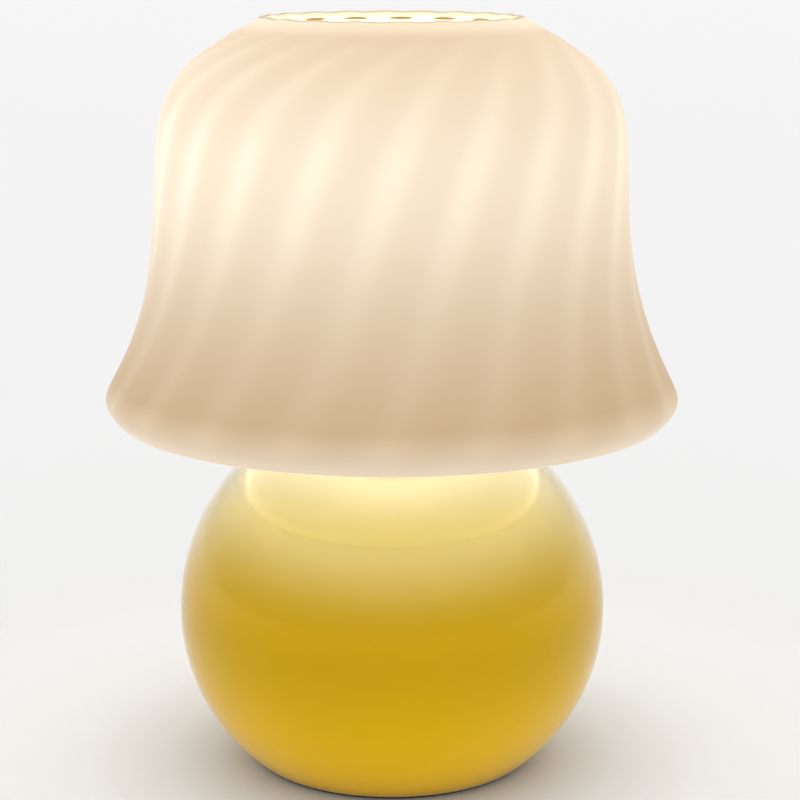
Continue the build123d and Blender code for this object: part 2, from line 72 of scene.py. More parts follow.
def rounded(corners, steps=8):
    """A profile with round corners, each given as (radius, height, rounding).

    A corner's arc touches both sides at rounding / tan(half the inside angle) from the corner.
    One more point a little beyond each end of an arc keeps the flat beside it flat in shading.
    """
    corners = np.array(corners, float)
    share = np.linspace(0, 1, steps + 1)[:, None]
    beyond = 1.2
    runs = []
    for number, (*spot, rounding) in enumerate(corners):
        spot = np.array(spot)
        if rounding == 0:
            runs.append(spot[None])
            continue
        sides = [corners[number - 1, :2] - spot, corners[(number + 1) % len(corners), :2] - spot]
        back, on = [side / np.linalg.norm(side) for side in sides]
        half = math.acos(np.clip(back @ on, -1, 1)) / 2
        reach = rounding / math.tan(half)
        centre = spot + (back + on) / np.linalg.norm(back + on) * rounding / math.sin(half)
        turn = math.pi - 2 * half
        start, end = spot + back * reach - centre, spot + on * reach - centre
        arc = centre + (start * np.sin((1 - share) * turn) + end * np.sin(share * turn)) / math.sin(turn)
        runs += [[spot + back * reach * beyond], arc, [spot + on * reach * beyond]]
    return np.concatenate(runs)


def slab(inner, outer, low, high, inner_edge, outer_edge):
    """The profile of a disc or a flat ring between two heights, with these roundings."""
    return rounded([
        (inner, low, inner_edge),
        (outer, low, outer_edge),
        (outer, high, outer_edge),
        (inner, high, inner_edge),
    ])


def dense(profile, spacing):
    """The same profile with further points on its straight stretches, no wider apart than spacing."""
    along = np.append(0, np.linalg.norm(np.diff(profile, axis=0), axis=1).cumsum())
    spots = np.union1d(along, np.arange(0, along[-1], spacing))
    return np.stack([np.interp(spots, along, profile[:, axis]) for axis in (0, 1)], axis=1)


def turned(profile, columns):
    """Radius, azimuth and height of each point of a turned piece, in rows × columns."""
    azimuth = np.arange(columns) * (2 * math.pi / columns)
    radius, azimuth = np.meshgrid(profile[:, 0], azimuth, indexing="ij")
    return radius, azimuth, np.repeat(profile[:, 1:], columns, axis=1)


def round_the_axis(radius, azimuth, height):
    """The point at each radius, azimuth and height."""
    return np.stack([radius * np.cos(azimuth), radius * np.sin(azimuth), height], axis=-1)


def patch(points, ring=False, **values):
    """Points, triangles and point values of a grid of rows × columns, whose columns close round.

    Four neighbours make two triangles, which face outwards where the rows run upwards. A row
    that lies on one spot becomes one point. With ring, the last row joins on to the first.
    """
    rows, columns, _ = points.shape
    pole = np.ptp(points, axis=1).max(axis=1) < 1e-9
    row, column = np.meshgrid(np.arange(rows if ring else rows - 1), np.arange(columns), indexing="ij")

    def number(row, column):
        return np.where(pole[row % rows], row % rows * columns, row % rows * columns + column % columns)

    low, low_next = number(row, column), number(row, column + 1)
    high, high_next = number(row + 1, column), number(row + 1, column + 1)
    faces = np.stack([low, low_next, high_next, low, high_next, high], axis=-1).reshape(-1, 3)
    faces = faces[(faces != np.roll(faces, 1, axis=1)).all(axis=1)]
    used, faces = np.unique(faces, return_inverse=True)
    kept = {name: value.ravel()[used] for name, value in values.items()}
    return points.reshape(-1, 3)[used], faces.reshape(-1, 3), kept


def piece_of(name, *patches):
    """One smooth-shaded object made of patches, with their point values as attributes."""
    starts = np.cumsum([0] + [len(points) for points, _, _ in patches])
    mesh = bpy.data.meshes.new(name)
    points = np.concatenate([points for points, _, _ in patches])
    faces = np.concatenate([faces + start for (_, faces, _), start in zip(patches, starts)])
    mesh.from_pydata(points, [], faces)
    for value_name in patches[0][2]:
        values = np.concatenate([values[value_name] for _, _, values in patches])
        attribute = mesh.attributes.new(value_name, "FLOAT", "POINT")
        attribute.data.foreach_set("value", values.astype(np.float32))
    mesh.shade_smooth()
    piece = bpy.data.objects.new(name, mesh)
    bpy.context.scene.collection.objects.link(piece)
    return piece


def turned_piece(name, profile, columns, ring=True):
    """A piece turned from a profile that closes on itself, or with ring=False on the axis."""
    return piece_of(name, patch(round_the_axis(*turned(profile, columns)), ring))


class Field:
    """A socket in a finish that takes part in sums as if it were a number."""

    def __init__(self, finish, socket):
        self.finish = finish
        self.socket = socket

    def maths(self, operation, *values, **settings):
        """What one Math node makes of these values."""
        return self.finish.node("Math", {"operation": operation, **settings}, dict(enumerate(values)))

    def __add__(self, other):
        return self.maths("ADD", self, other)

    def __sub__(self, other):
        return self.maths("SUBTRACT", self, other)

    def __rsub__(self, other):
        return self.maths("SUBTRACT", other, self)

    def __mul__(self, other):
        return self.maths("MULTIPLY", self, other)

    def __truediv__(self, other):
        return self.maths("DIVIDE", self, other)

    def __pow__(self, other):
        return self.maths("POWER", self, other)

    def __neg__(self):
        return self * -1.0

    __radd__ = __add__
    __rmul__ = __mul__

    def exp(self):
        return self.maths("EXPONENT", self)

    def sine(self):
        return self.maths("SINE", self)

    def held(self):
        """The value kept between 0 and 1."""
        return self.maths("ADD", self, 0.0, use_clamp=True)

    def rise(self, start, end):
        """0 up to start, then a smooth rise, 1 from end on."""
        ends = {"From Min": start, "From Max": end, "Value": self}
        return self.finish.node("MapRange", {"interpolation_type": "SMOOTHSTEP"}, ends)


class Finish:
    """A material, or the light of a world, that is being put together from shader nodes."""

    def __init__(self, owner):
        owner.use_nodes = True
        owner.node_tree.nodes.clear()
        self.owner = owner
        self.tree = owner.node_tree

    def node(self, kind, settings=None, values=None, output=0):
        """Adds a node of this type, with its settings first and then its sockets' values or links."""
        node = self.tree.nodes.new("ShaderNode" + kind)
        for name, value in (settings or {}).items():
            setattr(node, name, value)
        for name, value in (values or {}).items():
            if isinstance(value, Field):
                self.tree.links.new(value.socket, node.inputs[name])
            elif isinstance(value, tuple) and node.inputs[name].type == "RGBA":
                node.inputs[name].default_value = (*value, 1.0)
            else:
                node.inputs[name].default_value = value
        return Field(self, node.outputs[output]) if node.outputs else None

    def place(self):
        """The point's own coordinates, which ride along with the piece."""
        return self.node("TexCoord", output="Object")

    def axes(self):
        """The point's x, y and z."""
        place = self.place()
        return [self.node("SeparateXYZ", None, {0: place}, axis) for axis in range(3)]

    def attribute(self, name):
        """The point value of this name, which piece_of has stored in the mesh."""
        return self.node("Attribute", {"attribute_name": name}, output="Fac")

    def noise(self, scale, detail=2.0):
        """Cloudy noise from 0 to 1, with this many clouds to a metre and finer ones in them."""
        return self.node("TexNoise", None, {"Vector": self.place(), "Scale": scale, "Detail": detail})

    def mix(self, mask, first, second):
        """The first colour where the mask is 0, the second where it is 1."""
        return self.node("Mix", {"data_type": "RGBA"}, {0: mask, 6: first, 7: second}, output=2)

    def bump(self, height, depth):
        """A bumped normal: height runs from 0 to 1 and stands for this depth in metres."""
        return self.node("Bump", None, {"Height": height, "Distance": depth})

    def surface(self, values):
        """Ends the finish with one principled surface."""
        shader = self.node("BsdfPrincipled", None, values)
        self.node("OutputMaterial", None, {"Surface": shader})


def new_finish(name):
    """A new material with nothing in it yet."""
    return Finish(bpy.data.materials.new(name))


def fit(piece, finish, body, slot, *nodes):
    """Dresses a new piece, lets it ride on its body and lets it stand for these nodes."""
    piece.data.materials.append(finish.owner)
    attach(piece, body)
    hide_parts(*nodes)


def dress(finish, *nodes):
    """Gives this finish to nodes that keep their own shape."""
    for node in nodes:
        mesh = frame["nodes"][node].data
        mesh.materials.clear()
        mesh.materials.append(finish.owner)


pad_low, pad_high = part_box("foot_pad")
pad_spread = 0.0014
pad_edge = 0.0004
pad_profile = slab(0, pad_high.x + pad_spread, pad_low.z, pad_high.z, 0, pad_edge)
felt_pad = turned_piece("felt_pad", pad_profile, columns=256, ring=False)

brown_felt = new_finish("brown_felt")
fibres = brown_felt.noise(2600.0, 4.0)
felt_clumps = brown_felt.noise(320.0)
felt_shade = (fibres * 0.7 + felt_clumps * 0.5).rise(0.35, 0.85)
brown_felt.surface({
    "Base Color": brown_felt.mix(felt_shade, (0.045, 0.026, 0.008), (0.15, 0.095, 0.03)),
    "Roughness": 0.95,
    "Sheen Weight": 0.25,
    "Normal": brown_felt.bump(fibres, 0.0003),
})
fit(felt_pad, brown_felt, "base", "brown_felt", "foot_pad")

# --- Ball base -----------------------------------------------------------------------------
# A hollow ball of slip-cast ware under a thick, glossy yellow glaze, open below for the plate
# and the nut. Its colour is painted darker and greyer over the crown, as painted shade against
# the strong lamp light there, and brighter towards the foot, as painted light from the floor.
ball_low, ball_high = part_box("ball_base")
ball_radius = ball_high.x
equator = 0.0546
foot_radius, foot_edge = 0.0499, 0.0010
crown_radius, crown_edge = 0.020, 0.0020
ball_wall, crown_wall = 0.005, 0.007
tube_hole, tube_hole_edge = 0.0053, 0.0005
recess_radius, ledge_radius = 0.042, 0.034
ledge_low, ledge_high = 0.0112, 0.0152
points_rounded_off = 6
hairline = 0.00005  # room between two pieces that touch, so that no two faces coincide


def ball_arc(end_radius, end_height, depth=0.0, stop=None, steps=90):
    """Points of one of the ball's two arcs, from the equator up or down, this deep in its wall.

    The arc is upright at the equator and goes through the end point, so its radius is
    (width² + height²) / (2 × width). An inner arc has the same centre, and ends at stop.
    """
    width, rise = ball_radius - end_radius, end_height - equator
    arc_radius = (width**2 + rise**2) / (2 * width)
    inner_rise = rise if stop is None else stop - equator
    turn = np.linspace(0, math.asin(inner_rise / (arc_radius - depth)), steps)
    reach = ball_radius - arc_radius + (arc_radius - depth) * np.cos(turn)
    return np.stack([reach, equator + (arc_radius - depth) * np.sin(turn)], axis=1)


lower_outside = ball_arc(foot_radius, ball_low.z)
upper_outside = ball_arc(crown_radius, ball_high.z)
upper_inside = ball_arc(crown_radius, ball_high.z, ball_wall, ball_high.z - crown_wall, steps=40)
lower_inside = ball_arc(foot_radius, ball_low.z, ball_wall, ledge_high, steps=40)
foot_fillet = rounded([
    (recess_radius, ball_low.z, 0),
    (foot_radius, ball_low.z, foot_edge),
    (*lower_outside[-points_rounded_off], 0),
])
crown_fillet = rounded([
    (*upper_outside[-points_rounded_off], 0),
    (crown_radius, ball_high.z, crown_edge),
    (tube_hole, ball_high.z, tube_hole_edge),
    (tube_hole, ball_high.z - crown_wall, 0),
])
recess_corners = [
    (ledge_radius, ledge_high),
    (ledge_radius, ledge_low),
    (recess_radius, ledge_low),
]
ball_profile = np.concatenate([
    foot_fillet,
    lower_outside[-points_rounded_off - 1:0:-1],
    upper_outside[:-points_rounded_off],
    crown_fillet,
    upper_inside[::-1],
    lower_inside[1:],
    np.array(recess_corners),
])
glazed_ball = turned_piece("glazed_ball", ball_profile, columns=256)


def stood(points, origin, along):
    """The same points with the z axis turned to this direction and the origin moved here."""
    along = np.array(along) / np.linalg.norm(along)
    side = np.cross(along, (0.0, 0.0, 1.0))
    side = side / np.linalg.norm(side)
    return np.array(origin) + points @ np.stack([side, np.cross(along, side), along])


def drill(piece, origin, along, radius, reach):
    """Cuts a round hole through a piece, as far as reach both ways from the origin."""
    rod = np.array([(0, -reach), (radius, -reach), (radius, reach), (0, reach)])
    drill_bit = piece_of("drill_bit", patch(stood(round_the_axis(*turned(rod, columns=48)), origin, along)))
    cut = piece.modifiers.new("hole", "BOOLEAN")
    cut.object = drill_bit
    cut.solver = "EXACT"
    drilled = bpy.data.meshes.new_from_object(piece.evaluated_get(bpy.context.evaluated_depsgraph_get()))
    piece.modifiers.clear()
    whole = piece.data
    piece.data = drilled
    bpy.data.meshes.remove(whole)
    bpy.data.meshes.remove(drill_bit.data)


inlet = next(mount for mount in frame["record"]["mounts"] if mount["name"] == "cable_inlet")
inlet_out = np.array(inlet["axis"])
inlet_length = inlet["dims"]["length_mm"] / 1000
grommet_flange = 0.0016
grommet_body_radius = 0.0042
inlet_face = np.array(inlet["pos_m"]) + inlet_out * (inlet_length / 2 - grommet_flange)
drill(glazed_ball, inlet_face, inlet_out, grommet_body_radius + hairline, 2 * ball_wall)

# Heights and colours of the painted shade over the crown and the painted light towards the foot.
crown_shade_low, crown_shade_high = 0.061, 0.104
top_shade_low, top_shade_high = 0.096, 0.112
foot_light_low, foot_light_high = 0.002, 0.060
wiped_low, wiped_high = ball_low.z + 0.0003, ball_low.z + 0.0010
foot_lit_yellow, full_yellow = (0.96, 0.570, 0.001), (0.49, 0.292, 0.004)
crown_shaded_yellow, top_shaded_yellow = (0.38, 0.288, 0.057), (0.30, 0.252, 0.125)
speck_brown, bare_clay = (0.30, 0.16, 0.003), (0.80, 0.62, 0.34)

yellow_glaze = new_finish("yellow_glaze")
_, _, glaze_height = yellow_glaze.axes()
glaze_cloud = yellow_glaze.noise(14.0, 3.0)
glaze_speck = yellow_glaze.noise(420.0, 1.0).rise(0.72, 0.80) * 0.12
# Painted shade: the crown bands are painted darker and greyer than the body.
crown_shade_band = glaze_height.rise(crown_shade_low, crown_shade_high)
top_shade_band = glaze_height.rise(top_shade_low, top_shade_high)
# Painted light: the glaze is painted brighter towards the foot, with a little random cloud in it.
painted_foot_light = 1 - glaze_height.rise(foot_light_low, foot_light_high) + (glaze_cloud - 0.5) * 0.15
wiped_foot = 1 - glaze_height.rise(wiped_low, wiped_high)
glaze_body = yellow_glaze.mix(painted_foot_light.held(), full_yellow, foot_lit_yellow)
painted_crown_shade = yellow_glaze.mix(top_shade_band, crown_shaded_yellow, top_shaded_yellow)
glaze_colour = yellow_glaze.mix(crown_shade_band, glaze_body, painted_crown_shade)
glaze_colour = yellow_glaze.mix(glaze_speck, glaze_colour, speck_brown)
yellow_glaze.surface({
    "Base Color": yellow_glaze.mix(wiped_foot, glaze_colour, bare_clay),
    "Roughness": 0.12 + glaze_cloud * 0.04,
    "Specular Tint": (1.0, 0.72, 0.05),
    "Coat Weight": 0.04 + crown_shade_band * 0.96,
    "Coat Roughness": 0.12,
    "Coat IOR": 1.7,
    "Normal": yellow_glaze.bump(yellow_glaze.noise(55.0, 1.0), 0.00006),
})
fit(glazed_ball, yellow_glaze, "base", "yellow_glaze", "ball_base")

# --- Cable grommet -------------------------------------------------------------------------
# A soft rubber bush snapped into a hole in the rear wall of the ball. Its flange covers the
# edge of the hole, and its bore leads the cable in without chafing.
grommet_flange_radius = 0.0065
grommet_bore = inlet["dims"]["r_mm"] / 1000
grommet_inner_radius = 0.0054
grommet_inner_flange = 0.0013
grommet_end = grommet_flange - inlet_length
grommet_corners = [
    (grommet_flange_radius, hairline, 0.0002),
    (grommet_flange_radius, grommet_flange, 0.0009),
    (grommet_bore, grommet_flange, 0.0005),
    (grommet_bore, grommet_end, 0.0003),
    (grommet_inner_radius, grommet_end, 0.0003),
    (grommet_inner_radius, grommet_end + grommet_inner_flange, 0.0003),
    (grommet_body_radius, grommet_end + grommet_inner_flange, 0),
    (grommet_body_radius, hairline, 0),
]
grommet_ring = round_the_axis(*turned(rounded(grommet_corners), columns=64))
rubber_grommet = piece_of("rubber_grommet", patch(stood(grommet_ring, inlet_face, inlet_out), ring=True))

dark_rubber = new_finish("dark_rubber")
rubber_bloom = dark_rubber.noise(180.0, 3.0)
bloomed = rubber_bloom.rise(0.35, 0.75)
dark_rubber.surface({
    "Base Color": dark_rubber.mix(bloomed, (0.012, 0.010, 0.009), (0.045, 0.040, 0.036)),
    "Roughness": 0.55 + rubber_bloom * 0.25,
    "Normal": dark_rubber.bump(dark_rubber.noise(1900.0, 1.0), 0.00004),
})
fit(rubber_grommet, dark_rubber, "base", "dark_rubber", "cable_grommet")

# --- Plate, washers, nut and tube ----------------------------------------------------------
# A zinc-plated steel plate lies in the pocket under the ball, and a nut on the lower end of
# the threaded tube pulls it up over a flat washer and a slit lock washer.
zinc_steel = new_finish("zinc_steel")
zinc_bloom = zinc_steel.noise(90.0, 4.0)
zinc_grain = zinc_steel.noise(2400.0, 1.0)
zinc_steel.surface({
    "Base Color": zinc_steel.mix(zinc_bloom.rise(0.35, 0.70), (0.34, 0.34, 0.32), (0.48, 0.49, 0.50)),
    "Metallic": 1.0,
    "Roughness": 0.22 + zinc_bloom * 0.25,
    "Normal": zinc_steel.bump(zinc_grain, 0.00001),
})
dress(zinc_steel, "bottom_plate", "bottom_washer", "lock_washer", "bottom_nut", "threaded_tube")

# --- Neck: gasket, cap and nut -------------------------------------------------------------
# A rubber gasket and a turned brass cap close the top of the ball, and a brass hex nut
# clamps them down. The cap has a shallow turned groove, and its edge is rolled over.
gasket_low, gasket_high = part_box("neck_gasket")
gasket_edge = 0.0003
gasket_profile = slab(tube_hole, gasket_high.x, gasket_low.z, gasket_high.z, 0, gasket_edge)
gasket = turned_piece("gasket", gasket_profile, columns=96)
fit(gasket, dark_rubber, "base", "dark_rubber", "neck_gasket")

cap_low, cap_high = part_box("neck_cap")
cap_groove_outer, cap_groove_inner, cap_groove_depth = 0.0168, 0.0150, 0.0003
cap_corners = [
    (tube_hole, cap_low.z, 0),
    (cap_high.x, cap_low.z, 0.0003),
    (cap_high.x, cap_high.z, 0.0010),
    (cap_groove_outer, cap_high.z, 0.0002),
    (cap_groove_outer - cap_groove_depth, cap_high.z - cap_groove_depth, 0.0001),
    (cap_groove_inner + cap_groove_depth, cap_high.z - cap_groove_depth, 0.0001),
    (cap_groove_inner, cap_high.z, 0.0002),
    (tube_hole, cap_high.z, 0.0002),
]
turned_cap = turned_piece("turned_cap", rounded(cap_corners), columns=128)

brass = new_finish("brass")
brass_x, brass_y, brass_z = brass.axes()
from_axis = (brass_x * brass_x + brass_y * brass_y) ** 0.5
turning_marks = ((from_axis + brass_z) * 9000.0).sine()
tarnish = brass.noise(130.0, 4.0).rise(0.45, 0.75)
brass.surface({
    "Base Color": brass.mix(tarnish, (0.80, 0.56, 0.22), (0.52, 0.33, 0.12)),
    "Metallic": 1.0,
    "Roughness": 0.20 + tarnish * 0.20,
    "Normal": brass.bump(turning_marks * 0.5 + 0.5, 0.000012),
})
fit(turned_cap, brass, "base", "brass", "neck_cap")
dress(brass, "neck_nut")

# --- Lampholder ----------------------------------------------------------------------------
# A moulded cap, domed below, is clamped on the tube by a grub screw. It holds a ceramic
# insert with the brass screw shell, the sprung centre contact and two terminal screws.
socket_low, socket_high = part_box("holder_cap")
holder_radius = socket_high.x
holder_inner = 0.0172
holder_throat = 0.0158
holder_step = 0.002
holder_straight = 0.004
holder_boss_radius, holder_boss_height = 0.0085, 0.004
holder_bulge = 0.0032
tube_entry = 0.009
tube_fit = 0.00505


def bulged(start, end, bulge, steps=30):
    """A round arc from start to end that stands out to the right of the way by bulge.

    The arc's radius is (half the chord² + bulge²) / (2 × bulge).
    """
    start, end = np.array(start), np.array(end)
    chord = np.linalg.norm(end - start)
    right = np.array([end[1] - start[1], start[0] - end[0]]) / chord
    arc_radius = ((chord / 2) ** 2 + bulge**2) / (2 * bulge)
    share = np.linspace(0, 1, steps)[:, None]
    rise = np.sqrt(arc_radius**2 - (chord * (share - 0.5)) ** 2) - (arc_radius - bulge)
    return start + (end - start) * share + right * rise


boss_top = socket_low.z + holder_boss_height
shoulder = socket_high.z - holder_straight
socket_profile = np.concatenate([
    rounded([
        (tube_fit, socket_low.z, 0),
        (holder_boss_radius, socket_low.z, 0.0005),
        (holder_boss_radius, boss_top, 0),
    ]),
    bulged((holder_boss_radius, boss_top), (holder_radius, shoulder), holder_bulge)[1:],
    rounded([
        (holder_radius, socket_high.z - holder_straight / 2, 0),
        (holder_radius, socket_high.z, 0.0004),
        (holder_inner, socket_high.z, 0),
        (holder_inner, socket_high.z - holder_step, 0),
        (holder_throat, socket_high.z - holder_step, 0),
        (holder_throat, shoulder, 0),
        (holder_boss_radius, socket_low.z + tube_entry, 0),
        (tube_fit, socket_low.z + tube_entry, 0),
    ]),
])
domed_cap = turned_piece("domed_cap", socket_profile, columns=128)
grub_hole, grub_reach = 0.00155, 0.0085
grub_middle = (0.0125, 0, socket_low.z + holder_boss_height / 2)
drill(domed_cap, grub_middle, (1.0, 0, 0), grub_hole, grub_reach)

holder_plastic = new_finish("holder_plastic")
plastic_cloud = holder_plastic.noise(60.0, 3.0)
plastic_shade = plastic_cloud.rise(0.3, 0.7)
holder_plastic.surface({
    "Base Color": holder_plastic.mix(plastic_shade, (0.38, 0.365, 0.325), (0.43, 0.415, 0.375)),
    "Roughness": 0.34 + plastic_cloud * 0.12,
    "Normal": holder_plastic.bump(holder_plastic.noise(2800.0, 1.0), 0.00001),
})
fit(domed_cap, holder_plastic, "base", "holder_plastic", "holder_cap")

white_ceramic = new_finish("white_ceramic")
ceramic_pores = white_ceramic.noise(1500.0, 3.0)
white_ceramic.surface({
    "Base Color": white_ceramic.mix(ceramic_pores.rise(0.55, 0.75), (0.46, 0.45, 0.41), (0.33, 0.31, 0.27)),
    "Roughness": 0.75,
    "Normal": white_ceramic.bump(ceramic_pores, 0.00005),
})
dress(zinc_steel, "grub_screw")
dress(white_ceramic, "holder_insert")
dress(brass, "screw_shell", "centre_contact", "terminal_screws")

# --- Lampholder skirt ----------------------------------------------------------------------
# The sleeve over the insert is moulded in the same plastic. Its outside carries a coarse
# thread for the two shade rings, and its rim turns in round the neck of the bulb.
skirt_low, skirt_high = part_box("holder_skirt")
skirt_rim = 0.0028
skirt_mouth = 0.0143
skirt_pitch, skirt_turns = 0.0026, 8
skirt_groove = 0.0005
skirt_corners = [
    (holder_inner, skirt_low.z, 0),
    (holder_radius, skirt_low.z, 0.0004),
    (holder_radius, skirt_high.z, 0.0007),
    (skirt_mouth, skirt_high.z, 0.0004),
    (skirt_mouth, skirt_high.z - skirt_rim, 0.0002),
    (holder_inner, skirt_high.z - skirt_rim, 0),
]


def level_ease(share):
    """A smooth rise from 0 to 1 as the share goes from 0 to 1, level outside that."""
    share = np.clip(share, 0, 1)
    return share * share * (3 - 2 * share)


def threaded(radius, azimuth, height, root, depth, pitch, bottom, top, steepness):
    """The radius with a screw thread cut this deep into what lies outside the root radius.

    The thread's form is a smooth step of a cosine that moves on by one pitch each turn.
    """
    turn = 2 * math.pi * (height - top) / pitch - azimuth
    runout = level_ease((height - bottom) / (pitch / 2)) * level_ease((top - height) / (pitch / 2))
    outer = level_ease((radius - root) / depth + 0.5)
    return radius - depth * outer * runout * level_ease(0.5 + steepness * np.cos(turn))


radius, azimuth, height = turned(dense(rounded(skirt_corners), skirt_pitch / 10), columns=120)
radius = threaded(
    radius, azimuth, height,
    root=holder_radius - skirt_groove,
    depth=skirt_groove,
    pitch=skirt_pitch,
    bottom=skirt_high.z - skirt_pitch * (skirt_turns + 0.5),
    top=skirt_high.z - skirt_pitch * 0.5,
    steepness=0.9,
)
threaded_skirt = piece_of("threaded_skirt", patch(round_the_axis(radius, azimuth, height), ring=True))
fit(threaded_skirt, holder_plastic, "base", "holder_plastic", "holder_skirt")

# --- Shade rings ---------------------------------------------------------------------------
# Two moulded rings with grips run on the thread of the skirt, one under the hub of the wire
# carrier and one over it, and clamp it between them.
ring_hole, ring_reach = holder_radius + hairline, 0.026
ring_hole_edge, ring_edge = 0.0003, 0.0006
ring_grips, ring_grip_columns, ring_grip_depth = 24, 12, 0.00055
ring_grip_start, ring_grip_slope = ring_reach - 0.002, 0.0015
for ring_node in ("lower_shade_ring", "upper_shade_ring"):
    ring_low, ring_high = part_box(ring_node)
    ring_profile = slab(ring_hole, ring_reach, ring_low.z, ring_high.z, ring_hole_edge, ring_edge)
    radius, azimuth, height = turned(ring_profile, ring_grips * ring_grip_columns)
    # Each grip is a smooth step of a cosine round the ring, cut only into its outer edge.
    grip = level_ease(0.2 + 0.8 * np.cos(ring_grips * azimuth))
    radius = radius - ring_grip_depth * grip * level_ease((radius - ring_grip_start) / ring_grip_slope)
    clamp_ring = piece_of("clamp_" + ring_node, patch(round_the_axis(radius, azimuth, height), ring=True))
    fit(clamp_ring, holder_plastic, "base", "holder_plastic", ring_node)

# --- Shade carrier -------------------------------------------------------------------------
# A pressed steel hub with three steel wires spot-welded on it, bent up under the shoulder of
# the shade, and the whole powder-coated white.
carrier_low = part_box("shade_carrier")[0]
wire_radius = 0.00175
hub_thickness = 0.0015
hub_radius, hub_hole = 0.031, 0.0203
hub_edge, hub_hole_edge = 0.0004, 0.0002
arm_weld, arm_run, arm_bend = 0.003, 0.009, 0.009
tip_radius = 0.0045
arm_angles = [math.radians(angle) for angle in (90, 210, 330)]
arm_height = carrier_low.z + wire_radius
hub_bottom = arm_height - hub_thickness / 2
hub_top = hub_bottom + hub_thickness
rear_tip_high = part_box("carrier_tip_1")[1]
tip_reach, tip_height = rear_tip_high.y - tip_radius, rear_tip_high.z - tip_radius
hub_profile = slab(hub_hole, hub_radius, hub_bottom, hub_top, hub_hole_edge, hub_edge)
carrier_patches = [patch(round_the_axis(*turned(hub_profile, columns=160)), ring=True)]


def wire(line, thickness, columns=28):
    """A round bar of this radius along a line of (reach, height) points in the x-z plane.

    Each ring of points is out × cos + side × sin round the line, and each end is a shallow dome.
    """
    run = np.gradient(line, axis=0)
    run = run / np.linalg.norm(run, axis=1)[:, None]
    dome = np.array([(0, 0.35), (0.55, 0.3), (0.85, 0.15)])
    share = np.concatenate([dome[:, 0], np.ones(len(line)), dome[::-1, 0]]) * thickness
    ends = [line[0] - run[0] * push * thickness for push in dome[:, 1]]
    other_ends = [line[-1] + run[-1] * push * thickness for push in dome[::-1, 1]]
    spine = np.concatenate([ends, line, other_ends])
    run = np.concatenate([run[[0] * 3], run, run[[-1] * 3]])
    turn = np.arange(columns) * (2 * math.pi / columns)
    out = np.stack([run[:, 1], 0 * run[:, 0], -run[:, 0]], axis=1)[:, None] * np.cos(turn)[:, None]
    side = np.array([0, 1, 0]) * np.sin(turn)[:, None]
    return np.insert(spine, 1, 0, axis=1)[:, None] + share[:, None, None] * (out + side)


def swung(points, angle):
    """The points turned about the lamp's axis by this angle."""
    cosine, sine = math.cos(angle), math.sin(angle)
    return points @ np.array([(cosine, sine, 0), (-sine, cosine, 0), (0, 0, 1)])


arm_corners = [
    (hub_radius - arm_weld, arm_height, 0),
    (hub_radius - arm_weld + arm_run, arm_height, arm_bend),
    (tip_reach, tip_height, 0),
]
arm_line = dense(rounded(arm_corners, steps=16), spacing=0.002)
weld_size = (0.0016, 0.0009, 0.0008)
weld_turn = np.linspace(-math.pi / 2, math.pi / 2, 11)
weld = round_the_axis(*turned(np.stack([np.cos(weld_turn), np.sin(weld_turn)], axis=1), columns=20))
weld[[0, -1], :, :2] = 0
for angle in arm_angles:
    carrier_patches.append(patch(swung(wire(arm_line, wire_radius), angle)))
    for side in (-1, 1):
        bead = weld * weld_size + (hub_radius - arm_weld / 2, side * wire_radius, hub_top)
        carrier_patches.append(patch(swung(bead, angle)))
wire_carrier = piece_of("wire_carrier", *carrier_patches)

carrier_paint = new_finish("carrier_paint")
orange_peel = carrier_paint.noise(900.0, 2.0)
carrier_paint.surface({
    "Base Color": carrier_paint.mix(orange_peel.rise(0.3, 0.7), (0.36, 0.35, 0.33), (0.42, 0.41, 0.385)),
    "Roughness": 0.38,
    "Normal": carrier_paint.bump(orange_peel, 0.00006),
})
fit(wire_carrier, carrier_paint, "base", "carrier_paint", "shade_carrier")

# --- Carrier tips --------------------------------------------------------------------------
# Three soft caps of milky silicone are pushed over the ends of the wires. The shoulder of
# the glass rests on their round heads.
sleeve_radius, sleeve_length = 0.0029, 0.009
wire_fit = wire_radius + hairline
head_turn = np.linspace(math.asin(sleeve_radius / tip_radius) - math.pi / 2, math.pi / 2, 24)
head = tip_radius * np.stack([np.cos(head_turn), np.sin(head_turn)], axis=1)
head[-1, 0] = 0
# The sleeve swells into the head, and this takes the place of the head's first three points.
sleeve_swell = 0.0006
sleeve_corners = [
    (wire_fit, -sleeve_length, 0.0002),
    (sleeve_radius, -sleeve_length, 0.0004),
    (sleeve_radius, head[0, 1] - sleeve_swell, 0.0010),
    (*head[2], 0),
]
tip_profile = np.concatenate([[(0, 0), (wire_fit, 0)], rounded(sleeve_corners), head[3:]])
arm_rise = arm_line[-1] - arm_line[-2]

clear_silicone = new_finish("clear_silicone")
silicone_haze = clear_silicone.noise(240.0, 2.0)
clear_silicone.surface({
    "Base Color": clear_silicone.mix(silicone_haze, (0.42, 0.415, 0.39), (0.52, 0.515, 0.49)),
    "Roughness": 0.28 + silicone_haze * 0.2,
    "Transmission Weight": 0.35,
    "IOR": 1.41,
})
for number, angle in enumerate(arm_angles, start=1):
    tip_points = round_the_axis(*turned(tip_profile, columns=48))
    tip_points = stood(tip_points, (tip_reach, 0, tip_height), (arm_rise[0], 0, arm_rise[1]))
    soft_tip = piece_of(f"soft_tip_{number}", patch(swung(tip_points, angle)))
    fit(soft_tip, clear_silicone, "base", "clear_silicone", f"carrier_tip_{number}")

